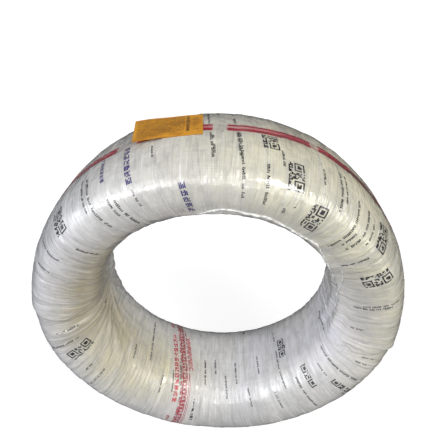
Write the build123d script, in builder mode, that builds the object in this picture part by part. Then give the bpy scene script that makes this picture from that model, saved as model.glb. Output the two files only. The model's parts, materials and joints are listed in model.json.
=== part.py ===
"""A wrapped coil of wire, standing on its rim as it is stored.

The coil is a thick ring with rounded sides. Its windings are covered by a printed white
wrapping, two printed tapes hold the wrapping, clear stretch film goes over both, and a
paper tag lies over the crown of the rim.

Frame: origin on the floor under the middle of the coil, +Y along the axis of the coil
away from the viewer, +Z up. Angles round the coil are measured from +X, with 90 degrees
at the crown on top.
"""
from build123d import *
import os
from math import cos, degrees, radians, sin

os.makedirs("parts", exist_ok=True)

# Driving dimensions of the whole coil, in millimetres
outer_radius = 450.0    # axis of the coil to the crown of the rim
bore_radius = 290.0     # clear radius inside the film
coil_width = 305.0      # along the axis
crown_flat = 32.0       # flat band round the crown of the rim
bore_flat = 95.0        # straight stretch of the bore
crown_round = 58.0      # radial depth of the round between crown and widest point

# Layers, from the outside in
film_thickness = 1.4    # several turns of stretch film
wrap_thickness = 2.0    # overlapping bands of the printed wrapping
tape_thickness = 0.3    # both tapes, between the wrapping and the film
tape_gap = 0.35         # air under and over both tapes

# Hoop tape, all the way round the rim
hoop_tape_width = 48.0
hoop_tape_middle = -17.0    # along the axis, in front of the middle of the crown

# Cross tape, laid over the front shoulder, through the bore and over the rear shoulder
cross_tape_width = 72.0
cross_tape_angle = 248.0
cross_tape_skew = 11.0      # degrees off the axis of the coil, the rear end further up
cross_tape_end = 20.0       # radial distance from the crown to both ends of the tape

# Paper tag: stiffer than the rim is round, so its left end stands clear of the film
tag_length = 148.0          # round the rim
tag_width = 105.0           # along the axis
tag_thickness = 0.3
tag_gap = 0.3               # air between the tag and the film where it rests
tag_bend_radius = 2200.0
tag_seat_angle = 96.5       # where round the coil it rests on the crown
tag_seat_reach = 24.0       # from its right end to that place
tag_middle = 5.5            # along the axis, behind the middle of the crown

# Places that follow from the sizes. A positive turn goes from +X up to the crown.
ring_centre = (0, 0, outer_radius)
ring_axis = Axis(ring_centre, (0, -1, 0))
widest_radius = outer_radius - crown_round
wrap_depth = film_thickness
wire_depth = film_thickness + wrap_thickness
tape_back = wrap_depth - tape_gap
tape_face = tape_back - tape_thickness
room_face = tape_face - tape_gap
room_back = wrap_depth + tape_gap
tag_arc = degrees(tag_length / tag_bend_radius)
tag_start = tag_seat_angle - degrees(tag_seat_reach / tag_bend_radius)
tag_centre_reach = outer_radius + tag_gap - tag_bend_radius


def radial_plane(angle):
    """Plane of the section at an angle round the coil, with local x outward and y along the axis."""
    turn = radians(angle)
    return Plane(origin=ring_centre, x_dir=(cos(turn), 0, sin(turn)), z_dir=(-sin(turn), 0, cos(turn)))


def section_edges(depth):
    """Closed outline of the section, at a depth below the outer face of the film.

    Local x is the distance from the axis of the coil, and local y runs along that axis.
    """
    outer = outer_radius - depth
    bore = bore_radius + depth
    side = coil_width / 2 - depth
    crown_end = crown_flat / 2
    bore_end = bore_flat / 2
    crown_rise = outer - widest_radius
    bore_rise = widest_radius - bore
    with BuildLine() as line:
        Line((bore, -bore_end), (bore, bore_end))
        EllipticalCenterArc((widest_radius, bore_end), bore_rise, side - bore_end, 180, arc_size=-90)
        EllipticalCenterArc((widest_radius, crown_end), crown_rise, side - crown_end, 90, arc_size=-90)
        Line((outer, crown_end), (outer, -crown_end))
        EllipticalCenterArc((widest_radius, -crown_end), crown_rise, side - crown_end, 0, arc_size=-90)
        EllipticalCenterArc((widest_radius, -bore_end), bore_rise, side - bore_end, 270, arc_size=-90)
    return line.edges()


def section_band(outside, inside):
    """Add the layer of the section between two depths to the sketch that is open."""
    make_face(section_edges(outside))
    make_face(section_edges(inside), mode=Mode.SUBTRACT)


def crown_zone(mode):
    """Rectangle over the crown that both ends of the cross tape keep clear of."""
    with Locations((outer_radius, 0)):
        Rectangle(2 * cross_tape_end, coil_width, mode=mode)


def hoop_tape_zone(mode):
    """Rectangle over the crown as wide as the hoop tape, in the sketch that is open."""
    with Locations((outer_radius, hoop_tape_middle)):
        Rectangle(2 * crown_round, hoop_tape_width, mode=mode)


def cross_tape_slab(mode):
    """Slab as wide as the cross tape, from the axis out beyond the rim, in the open part."""
    angle = radians(cross_tape_angle)
    outward = Vector(cos(angle), 0, sin(angle))
    across = Vector(0, 1, 0).cross(outward).rotate(Axis((0, 0, 0), outward), -cross_tape_skew)
    tape_plane = Plane(origin=ring_centre, x_dir=across, z_dir=outward)
    with BuildSketch(tape_plane) as slab:
        Rectangle(cross_tape_width, 2 * coil_width)
    extrude(slab.sketch, amount=2 * outer_radius, mode=mode)


section_plane = radial_plane(0)

# Windings of the wire, as one turned ring
with BuildPart() as wire_coil:
    with BuildSketch(section_plane):
        make_face(section_edges(wire_depth))
    revolve(axis=ring_axis)

# Printed wrapping, closed round the windings
with BuildPart() as printed_wrap:
    with BuildSketch(section_plane):
        section_band(wrap_depth, wire_depth)
    revolve(axis=ring_axis)

# Tape round the rim
with BuildPart() as hoop_tape:
    with BuildSketch(section_plane):
        section_band(tape_face, tape_back)
        hoop_tape_zone(Mode.INTERSECT)
    revolve(axis=ring_axis)

# Tape round the section, open over the crown
with BuildPart() as cross_tape:
    with BuildSketch(section_plane):
        section_band(tape_face, tape_back)
        crown_zone(Mode.SUBTRACT)
    revolve(axis=ring_axis)
    cross_tape_slab(Mode.INTERSECT)

# Room for the hoop tape, cut a little deeper than the film
with BuildPart() as hoop_tape_room:
    with BuildSketch(section_plane):
        section_band(room_face, room_back)
        hoop_tape_zone(Mode.INTERSECT)
    revolve(axis=ring_axis)

# Room for the cross tape, cut a little deeper than the film
with BuildPart() as cross_tape_room:
    with BuildSketch(section_plane):
        section_band(room_face, room_back)
        crown_zone(Mode.SUBTRACT)
    revolve(axis=ring_axis)
    cross_tape_slab(Mode.INTERSECT)

# Stretch film over the wrapping and both tapes
with BuildPart() as stretch_film:
    with BuildSketch(section_plane):
        section_band(0, wrap_depth)
    revolve(axis=ring_axis)
    add(hoop_tape_room.part, mode=Mode.SUBTRACT)
    add(cross_tape_room.part, mode=Mode.SUBTRACT)

# Paper tag, slightly bent, with its right part on the crown
rear_edge = (0, tag_middle + tag_width / 2, outer_radius)
with BuildPart() as paper_tag:
    with BuildSketch(Plane(origin=rear_edge, x_dir=(1, 0, 0), z_dir=(0, -1, 0))):
        with BuildLine():
            seat = radians(tag_seat_angle)
            middle = (tag_centre_reach * cos(seat), tag_centre_reach * sin(seat))
            back = CenterArc(middle, tag_bend_radius, tag_start, tag_arc)
            front = CenterArc(middle, tag_bend_radius + tag_thickness, tag_start, tag_arc)
            Line(back @ 0, front @ 0)
            Line(back @ 1, front @ 1)
        make_face()
    extrude(amount=tag_width)

pieces = {
    "wire_coil": wire_coil,
    "printed_wrap": printed_wrap,
    "hoop_tape": hoop_tape,
    "cross_tape": cross_tape,
    "stretch_film": stretch_film,
    "paper_tag": paper_tag,
}
for name, piece in pieces.items():
    piece.part.label = name
    export_step(piece.part, f"parts/{name}.step")
    print(name, round(piece.part.volume), piece.part.is_valid)
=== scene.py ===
"""Dresses the wrapped coil of wire: its crinkled film, print, tapes and paper tag.

Everything is in metres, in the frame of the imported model: +Y runs along the axis of the
coil, away from the viewer, and +Z is up. A place on the coil is an angle round it, from
+X up to the crown, and a distance along its section, from the middle of the crown
forward over the front shoulder to the bore. Distances behind the crown are negative, and
places in a station list are in degrees and millimetres.
"""

import json
import logging
import math
from dataclasses import dataclass, field
from enum import Enum
from functools import cached_property, partial, reduce
from typing import Iterator

import bpy
import numpy as np
from mathutils import Matrix, Vector

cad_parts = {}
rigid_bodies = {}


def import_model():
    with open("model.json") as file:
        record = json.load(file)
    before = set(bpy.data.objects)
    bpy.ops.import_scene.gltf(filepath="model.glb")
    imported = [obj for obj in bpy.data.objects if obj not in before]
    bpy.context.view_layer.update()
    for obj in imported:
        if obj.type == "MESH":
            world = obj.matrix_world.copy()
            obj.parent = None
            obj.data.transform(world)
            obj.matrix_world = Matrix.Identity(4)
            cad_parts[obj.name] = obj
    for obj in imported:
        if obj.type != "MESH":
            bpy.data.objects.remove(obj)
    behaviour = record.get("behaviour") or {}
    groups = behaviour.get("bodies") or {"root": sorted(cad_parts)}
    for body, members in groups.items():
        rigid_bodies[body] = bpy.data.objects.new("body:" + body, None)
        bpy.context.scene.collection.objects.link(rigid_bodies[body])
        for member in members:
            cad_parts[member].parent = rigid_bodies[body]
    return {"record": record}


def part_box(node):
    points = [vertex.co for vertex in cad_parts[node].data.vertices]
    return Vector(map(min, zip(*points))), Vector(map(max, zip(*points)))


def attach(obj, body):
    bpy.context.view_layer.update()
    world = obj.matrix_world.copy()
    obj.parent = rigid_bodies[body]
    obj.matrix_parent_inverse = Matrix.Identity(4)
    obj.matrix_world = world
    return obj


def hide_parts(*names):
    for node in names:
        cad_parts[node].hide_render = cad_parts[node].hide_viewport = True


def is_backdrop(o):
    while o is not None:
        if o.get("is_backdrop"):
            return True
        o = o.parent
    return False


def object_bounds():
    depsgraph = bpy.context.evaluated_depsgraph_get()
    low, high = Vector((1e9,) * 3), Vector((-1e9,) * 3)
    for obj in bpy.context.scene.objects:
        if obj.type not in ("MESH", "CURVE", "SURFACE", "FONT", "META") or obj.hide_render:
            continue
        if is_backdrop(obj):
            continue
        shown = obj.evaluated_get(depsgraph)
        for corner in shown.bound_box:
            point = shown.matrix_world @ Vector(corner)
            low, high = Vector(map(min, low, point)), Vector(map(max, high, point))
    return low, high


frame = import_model()
CAD_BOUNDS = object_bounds()
BODY = "root"
MM = 0.001
TURN = 2 * math.pi
SLOPE_STEP = 0.0015    # how far apart two points are that give the slope of the section
LINE_STEP = 12         # about how far apart the stations of a print row are, in millimetres
MOTIF_CELLS = 4        # bars a side of a printed square
FILM_IOR = 1.52
FLOAT, VECTOR = "NodeSocketFloat", "NodeSocketVector"
PLACE_MAP, TAPE_MAP = "wrap_place", "tape_place"
LOG = logging.getLogger("wrapped_coil")

Array = np.ndarray
Pair = tuple[float, float]
Triple = tuple[float, float, float]
Stations = tuple[Pair, ...]
Socket, Node, Tree = bpy.types.NodeSocket, bpy.types.Node, bpy.types.NodeTree
Piece, Material = bpy.types.Object, bpy.types.Material


class Ink(Enum):
    """Colours that the wrapping, the tapes and the tag are printed in."""

    BLACK = (0.020, 0.020, 0.024)
    VIOLET = (0.050, 0.038, 0.185)
    CRIMSON = (0.370, 0.008, 0.036)
    SCARLET = (0.560, 0.018, 0.048)
    BROWN = (0.110, 0.055, 0.012)


@dataclass(frozen=True)
class CoilShape:
    """The ring and its section, without folds or laps."""

    outer_radius: float
    bore_radius: float
    width: float
    bore_flat: float
    crown_flat: float = 0.032
    crown_round: float = 0.058
    arc_steps: int = 160

    @classmethod
    def from_frame(cls) -> "CoilShape":
        """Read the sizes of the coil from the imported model.

        Returns:
            The shape of the film's outer face.
        """
        low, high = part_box("stretch_film")
        bore = next(m for m in frame["record"]["mounts"] if m["name"] == "bore")["dims"]
        return cls(
            outer_radius=(high.z - low.z) / 2,
            bore_radius=bore["r_mm"] * MM,
            width=high.y - low.y,
            bore_flat=bore["length_mm"] * MM,
        )

    @cached_property
    def outline(self) -> tuple[Array, Array, Array]:
        """Half of the section, from the middle of the crown over the front to the bore.

        Returns:
            The distance along the section, the radius and the distance in front of the
            middle of the coil, one value a point.
        """
        turn = np.linspace(0.0, math.pi / 2, self.arc_steps)[1:]
        widest = self.outer_radius - self.crown_round
        bore_rise = widest - self.bore_radius
        side = self.width / 2
        crown_end, bore_end = self.crown_flat / 2, self.bore_flat / 2
        radius = np.concatenate((
            (self.outer_radius, self.outer_radius),
            widest + self.crown_round * np.cos(turn),
            widest - bore_rise * np.sin(turn),
            (self.bore_radius,),
        ))
        front = np.concatenate((
            (0.0, crown_end),
            crown_end + (side - crown_end) * np.sin(turn),
            bore_end + (side - bore_end) * np.cos(turn),
            (0.0,),
        ))
        steps = np.hypot(np.diff(radius), np.diff(front))
        return np.concatenate(((0.0,), np.cumsum(steps))), radius, front

    @cached_property
    def girth(self) -> float:
        """Length of the whole section."""
        return 2 * float(self.outline[0][-1])

    def wrapped(self, along: Array) -> Array:
        """Bring distances along the section to within half a girth of the crown."""
        return (along + self.girth / 2) % self.girth - self.girth / 2

    def section(self, along: Array) -> tuple[Array, Array]:
        """Points of the section.

        Args:
            along: Distances along the section.

        Returns:
            The radius and the place along Y of each point.
        """
        distance, radius, front = self.outline
        place = self.wrapped(along)
        return (
            np.interp(np.abs(place), distance, radius),
            -np.sign(place) * np.interp(np.abs(place), distance, front),
        )

    def points(self, angle: Array, along: Array, lift: Array) -> Array:
        """Points over the face of the coil.

        Args:
            angle: Angles round the coil, in radians.
            along: Distances along the section.
            lift: Heights over the plain face.

        Returns:
            An array of points, with the coordinates last.
        """
        radius, place = self.section(along)
        ahead, behind = self.section(along + SLOPE_STEP), self.section(along - SLOPE_STEP)
        rise, run = ahead[0] - behind[0], ahead[1] - behind[1]
        length = np.hypot(rise, run)
        out, place = radius - lift * run / length, place + lift * rise / length
        return np.stack((out * np.cos(angle), place, self.outer_radius + out * np.sin(angle)), axis=-1)


def smooth_step(value: Array, low: float, high: float) -> Array:
    """Rise from 0 at low to 1 at high, flat at both ends."""
    part = np.clip((value - low) / (high - low), 0.0, 1.0)
    return part * part * (3.0 - 2.0 * part)


def bell(value: Array, spread: float) -> Array:
    """Bell curve of height 1 about zero."""
    return np.exp(-0.5 * (value / spread) ** 2)


def angle_gap(angle: Array, other: Array | float) -> Array:
    """Signed shortest turn from one angle to another, in radians."""
    return (angle - other + math.pi) % TURN - math.pi


def between(table: Array, across: Array, down: Array, eased: bool = False) -> Array:
    """Look values up between the entries of a table that closes on itself both ways.

    Args:
        table: The values.
        across: Places among its rows.
        down: Places among its columns.
        eased: Whether the values run flat at each entry.

    Returns:
        One value a place.
    """
    left, low = np.floor(across).astype(int), np.floor(down).astype(int)
    right, up = across - left, down - low
    if eased:
        right, up = smooth_step(right, 0.0, 1.0), smooth_step(up, 0.0, 1.0)
    columns, rows = table.shape
    lower, upper = (
        table[left % columns, row % rows] * (1 - right) + table[(left + 1) % columns, row % rows] * right
        for row in (low, low + 1))
    return lower * (1 - up) + upper * up


def ring_noise(seed: int, cells: tuple[int, int], turns: Array, laps: Array) -> Array:
    """Soft noise between -1 and 1 that closes on itself round the coil and round its section."""
    lattice = np.random.default_rng(seed).uniform(-1, 1, cells)
    return between(lattice, turns * cells[0], laps * cells[1], eased=True)


@dataclass(frozen=True)
class Places:
    """Places on the coil: angles round it in radians, and distances along its section."""

    shape: CoilShape
    angle: Array
    along: Array

    @cached_property
    def radius(self) -> Array:
        """Distances from the axis of the coil, on its plain face."""
        return self.shape.section(self.along)[0]

    @property
    def turns(self) -> Array:
        """Angles as parts of a full turn."""
        return self.angle / TURN

    @property
    def laps(self) -> Array:
        """Distances along the section as parts of its girth."""
        return self.along / self.shape.girth

    def off(self, station: Pair) -> tuple[Array, Array]:
        """Distances from a station, round the coil and along the section."""
        across = angle_gap(self.angle, math.radians(station[0])) * self.radius
        return across, self.shape.wrapped(self.along - station[1] * MM)


class Feature:
    """Something that lifts or dents the wrapped face."""

    def relief(self, at: Places) -> Array:
        """Heights of the feature, in metres."""
        raise NotImplementedError


@dataclass(frozen=True)
class FoldPath(Feature):
    """A ridge or groove in the film that follows a line over the coil."""

    stations: Stations
    height: float
    spread: float
    lumps: float
    fade: float = 12.0

    def relief(self, at: Places) -> Array:
        """Heights of the fold.

        Args:
            at: Where on the coil.

        Returns:
            Heights in metres.
        """
        degrees, distances = np.array(self.stations).T
        turn = np.degrees(angle_gap(at.angle, math.radians(degrees[0])))
        turns = degrees - degrees[0]
        order = np.argsort(turns)
        middle = np.interp(turn, turns[order], distances[order] * MM)
        inside = smooth_step(turn, turns.min() - self.fade, turns.min())
        inside = inside * (1 - smooth_step(turn, turns.max(), turns.max() + self.fade))
        lumpy = ring_noise(41, (150, 9), at.turns, at.laps)
        off = at.shape.wrapped(at.along - middle)
        return self.height * inside * bell(off, self.spread) * (1 + self.lumps * lumpy)


@dataclass(frozen=True)
class LapLip(Feature):
    """The free edge of a band of wrapping, which stands proud of the band beside it."""

    stations: Stations
    height: float
    bulge: float
    upward: bool = True
    edge: float = 0.003

    def relief(self, at: Places) -> Array:
        """Heights of the lip.

        Args:
            at: Where on the coil.

        Returns:
            Heights in metres.
        """
        degrees, distances = np.array(self.stations).T
        distances = distances * MM
        place = at.shape.wrapped(at.along)
        middle = np.interp(place, distances, np.radians(degrees))
        reach = smooth_step(place, distances[0] - 0.03, distances[0] + 0.01)
        reach = reach * (1 - smooth_step(place, distances[-1] - 0.01, distances[-1] + 0.04))
        off = angle_gap(at.angle, middle) * at.radius * (1 if self.upward else -1)
        step = smooth_step(off, -self.edge, self.edge)
        return self.height * reach * step * bell(np.maximum(off, 0), self.bulge)


@dataclass(frozen=True)
class Swelling(Feature):
    """A soft bump or dent about one place."""

    place: Pair
    height: float
    spreads: Pair

    def relief(self, at: Places) -> Array:
        """Heights of the bump, in metres."""
        across, off = at.off(self.place)
        return self.height * bell(across, self.spreads[0]) * bell(off, self.spreads[1])


@dataclass(frozen=True)
class Pinch(Feature):
    """Pleats that run together at one point, and pull the bands of wrapping towards it."""

    place: Pair
    height: float
    reach: float
    pleats: int
    seed: int
    pull: float = 0.5
    spread: float = 22.0

    def share(self, gap: Array, place: Array) -> Array:
        """Part of the way to the pinch that bands are pulled, at angles from it in radians."""
        return self.pull * smooth_step(np.abs(place), 0.15, 0.35) * bell(np.degrees(gap), self.spread)

    def relief(self, at: Places) -> Array:
        """Heights of the pleats.

        Args:
            at: Where on the coil.

        Returns:
            Heights in metres.
        """
        across, off = at.off(self.place)
        distance, bearing = np.hypot(across, off), np.arctan2(across, off) / TURN
        wave = ring_noise(self.seed, (self.pleats, 4), bearing, distance)
        wave = wave + 0.5 * ring_noise(self.seed + 1, (2 * self.pleats, 5), bearing, distance)
        return self.height * wave * smooth_step(distance, 0.0, 0.07) * bell(distance, self.reach)


@dataclass(frozen=True)
class Relief:
    """Everything that lifts or dents the wrapped face: windings, laps, pleats and folds."""

    shape: CoilShape
    features: tuple[Feature, ...]
    bands: int = 34
    lap_step: float = 0.0009
    swell: float = 0.0018
    pleat: float = 0.00038
    gather: float = 0.0010
    crease: float = 0.00045

    @property
    def pinches(self) -> list[Pinch]:
        """The features that pull the bands."""
        return [feature for feature in self.features if isinstance(feature, Pinch)]

    def turns(self, at: Places) -> Array:
        """Places round the coil that the bands come from.

        Args:
            at: Where the bands are.

        Returns:
            Parts of a full turn.
        """
        start, place = at.angle, self.shape.wrapped(at.along)
        for pinch in self.pinches:
            gap = angle_gap(at.angle, math.radians(pinch.place[0]))
            share = pinch.share(gap, place)
            start = start + gap * share / (1 - share)
        return start / TURN

    def drawn(self, degrees: float, along: Array) -> Array:
        """Follow a band that starts at an angle.

        Args:
            degrees: Where the band starts, round the coil.
            along: Distances along the section.

        Returns:
            Angles in degrees.
        """
        angle = np.full(along.shape, float(degrees))
        for pinch in self.pinches:
            gap = angle_gap(np.radians(angle), math.radians(pinch.place[0]))
            angle = angle - np.degrees(gap) * pinch.share(gap, self.shape.wrapped(along))
        return angle

    def height(self, at: Places) -> Array:
        """Height of the wrapped face over the plain coil.

        Args:
            at: Where on the coil.

        Returns:
            Heights in metres.
        """
        turns, laps = self.turns(at), at.laps

        def noise(seed: int, *cells: int) -> Array:
            """Soft noise that follows the bands."""
            return ring_noise(seed, cells, turns, laps)

        inward = smooth_step(-at.radius, -self.shape.outer_radius, -self.shape.bore_radius)
        sides = 0.5 * (1 + np.cos(2 * at.angle)) ** 2
        band = (turns * self.bands + laps + 0.10 * noise(5, 40, 7)) % 1.0
        lap = self.lap_step * band * (1 - smooth_step(band, 0.93, 1.0))
        pleats = noise(6, 230, 5) + 0.6 * noise(7, 330, 7)
        gathers = np.abs(noise(8, 150, 5)) * (0.6 + 0.4 * noise(9, 14, 6))
        crumple = np.abs(noise(10, 190, 60)) + np.abs(noise(11, 110, 34))
        total = self.swell * (noise(3, 11, 5) + 0.45 * noise(4, 31, 8)) + lap
        total = total + self.pleat * (0.55 + inward + 0.5 * sides) * pleats
        total = total + self.gather * (inward + 0.25 * sides) * gathers - self.crease * crumple
        return sum((feature.relief(at) for feature in self.features), total)


def add_mesh(name: str, points: Array, faces: Array, material: Material,
             smooth: bool = True) -> Piece:
    """Make a mesh piece that rides with the coil.

    Args:
        name: Name of the piece.
        points: Corners, with the coordinates last.
        faces: Corner numbers, one row of four a face.
        material: Finish of the whole piece.
        smooth: Whether the faces are shaded smooth.

    Returns:
        The new object.
    """
    mesh = bpy.data.meshes.new(name)
    mesh.from_pydata(points.reshape(-1, 3).tolist(), [], faces.reshape(-1, 4).tolist())
    mesh.materials.append(material)
    mesh.polygons.foreach_set("use_smooth", [smooth] * len(mesh.polygons))
    piece = bpy.data.objects.new(name, mesh)
    bpy.context.scene.collection.objects.link(piece)
    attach(piece, BODY)
    return piece


def add_chart(piece: Piece, name: str, across: Array, up: Array) -> None:
    """Give a mesh a UV map.

    Args:
        piece: The mesh's object.
        name: Name of the map.
        across: First coordinate of every corner of the mesh, or of every corner of every face.
        up: Second coordinate, likewise.
    """
    chart = np.stack((np.ravel(across), np.ravel(up)), axis=-1)
    loops = len(piece.data.loops)
    if len(chart) != loops:
        corners = np.empty(loops, dtype=int)
        piece.data.loops.foreach_get("vertex_index", corners)
        chart = chart[corners]
    piece.data.uv_layers.new(name=name).data.foreach_set("uv", chart.ravel())


def grid_faces(columns: int, rows: int, close_columns: bool, close_rows: bool) -> Array:
    """Corner numbers of the faces of a grid, whose corners run row by row in each column.

    Args:
        columns: How many columns of corners there are.
        rows: How many corners a column has.
        close_columns: Whether the last column joins the first.
        close_rows: Whether the last row joins the first.

    Returns:
        One row of four corner numbers a face.
    """
    left = np.arange(columns if close_columns else columns - 1)
    low = np.arange(rows if close_rows else rows - 1)
    left, low = np.meshgrid(left, low, indexing="ij")
    right, high = (left + 1) % columns, (low + 1) % rows
    corners = (left * rows + low, left * rows + high, right * rows + high, right * rows + low)
    return np.stack([c.ravel() for c in corners], axis=-1)


class NodeSheet:
    """Short ways to add nodes and links to one node tree."""

    def __init__(self, tree: Tree) -> None:
        """Keep the tree that the nodes go to."""
        self.tree = tree

    def node(self, kind: str, **values: object) -> Node:
        """Add a node.

        Args:
            kind: Node type.
            values: Settings of the node itself.

        Returns:
            The node.
        """
        made = self.tree.nodes.new(kind)
        for key, value in values.items():
            setattr(made, key, value)
        return made

    def feed(self, socket: Socket, value: object) -> None:
        """Link a socket to another one, or set it where the value is a plain one.

        Args:
            socket: The input.
            value: What goes in, where None leaves the input as it is.
        """
        if isinstance(value, Socket):
            self.tree.links.new(value, socket)
        elif value is not None:
            socket.default_value = value

    def fill(self, node: Node, **values: object) -> Node:
        """Feed inputs of a node.

        Args:
            node: The node.
            values: What goes in, by the input's name with _ for a space.

        Returns:
            The node.
        """
        for key, value in values.items():
            self.feed(node.inputs[key.replace("_", " ")], value)
        return node

    def group(self, tree: Tree, **values: object) -> Node:
        """Place a node group and feed its inputs by name."""
        return self.fill(self.node("ShaderNodeGroup", node_tree=tree), **values)

    def math(self, operation: str, *values: object, clamp: bool = False) -> Socket:
        """Add a math node.

        Args:
            operation: Name of the operation.
            values: Sockets or numbers, in the order of the inputs.
            clamp: Whether the result stays between 0 and 1.

        Returns:
            The result's socket.
        """
        made = self.node("ShaderNodeMath", operation=operation, use_clamp=clamp)
        for socket, value in zip(made.inputs, values):
            self.feed(socket, value)
        return made.outputs[0]

    def plus(self, *values: object) -> Socket:
        """Sum of the values."""
        return reduce(partial(self.math, "ADD"), values)

    def times(self, *values: object) -> Socket:
        """Product of the values."""
        return reduce(partial(self.math, "MULTIPLY"), values)

    def apart(self, value: Socket, middle: float = 0.5) -> Socket:
        """How far a value is from a middle one."""
        return self.math("ABSOLUTE", self.math("SUBTRACT", value, middle))

    def ramp(self, value: object, low: float, high: float, out_low: float = 0.0,
             out_high: float = 1.0) -> Socket:
        """Carry a value from one range to another, held at both ends.

        Args:
            value: Socket or number.
            low: Start of its range.
            high: End of its range.
            out_low: Result at the start.
            out_high: Result at the end.

        Returns:
            The result's socket.
        """
        made = self.node("ShaderNodeMapRange", interpolation_type="SMOOTHSTEP")
        for socket, item in zip(made.inputs, (value, low, high, out_low, out_high)):
            self.feed(socket, item)
        return made.outputs[0]

    def mix(self, factor: object, first: object, second: object) -> Socket:
        """Mix two colours.

        Args:
            factor: Share of the second colour.
            first: Socket or linear colour.
            second: Socket or linear colour.

        Returns:
            The mixed colour's socket.
        """
        made = self.node("ShaderNodeMix", data_type="RGBA")
        for number, value in ((0, factor), (6, first), (7, second)):
            self.feed(made.inputs[number], (*value, 1) if isinstance(value, tuple) else value)
        return made.outputs[2]

    def parts(self, vector: Socket) -> list[Socket]:
        """Split a vector into its coordinates."""
        return list(self.fill(self.node("ShaderNodeSeparateXYZ"), Vector=vector).outputs)

    def chart(self, name: str) -> list[Socket]:
        """Coordinates of a UV map."""
        return self.parts(self.node("ShaderNodeUVMap", uv_map=name).outputs[0])

    def own_place(self) -> Socket:
        """Coordinates of the piece itself."""
        return self.node("ShaderNodeTexCoord").outputs["Object"]

    def own_noise(self, scale: float, detail: float = 2.0) -> Socket:
        """Noise in the coordinates of the piece itself."""
        made = self.node("ShaderNodeTexNoise")
        return self.fill(made, Vector=self.own_place(), Scale=scale, Detail=detail).outputs[0]

    def bump(self, height: Socket, strength: float, distance: float) -> Socket:
        """Normal of a relief that is too fine for a mesh."""
        made = self.node("ShaderNodeBump")
        return self.fill(made, Strength=strength, Distance=distance, Height=height).outputs[0]


class GroupSheet(NodeSheet):
    """A new shader node group, whose inputs are all plain numbers."""

    def __init__(self, name: str, **inputs: float) -> None:
        """Start the group.

        Args:
            name: Name of the group.
            inputs: Default of each input by name, with _ for a space.
        """
        super().__init__(bpy.data.node_groups.new(name, "ShaderNodeTree"))
        for label, value in inputs.items():
            socket = self.tree.interface.new_socket(
                label.replace("_", " "), in_out="INPUT", socket_type=FLOAT)
            socket.default_value = value
        self.entry = list(self.node("NodeGroupInput").outputs)[:len(inputs)]

    def close(self, **outputs: Socket) -> Tree:
        """Give the group its outputs.

        Args:
            outputs: What feeds each output, by name.

        Returns:
            The finished group.
        """
        for label, value in outputs.items():
            kind = VECTOR if value.type == "VECTOR" else FLOAT
            self.tree.interface.new_socket(label, in_out="OUTPUT", socket_type=kind)
        self.fill(self.node("NodeGroupOutput"), **outputs)
        return self.tree


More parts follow.
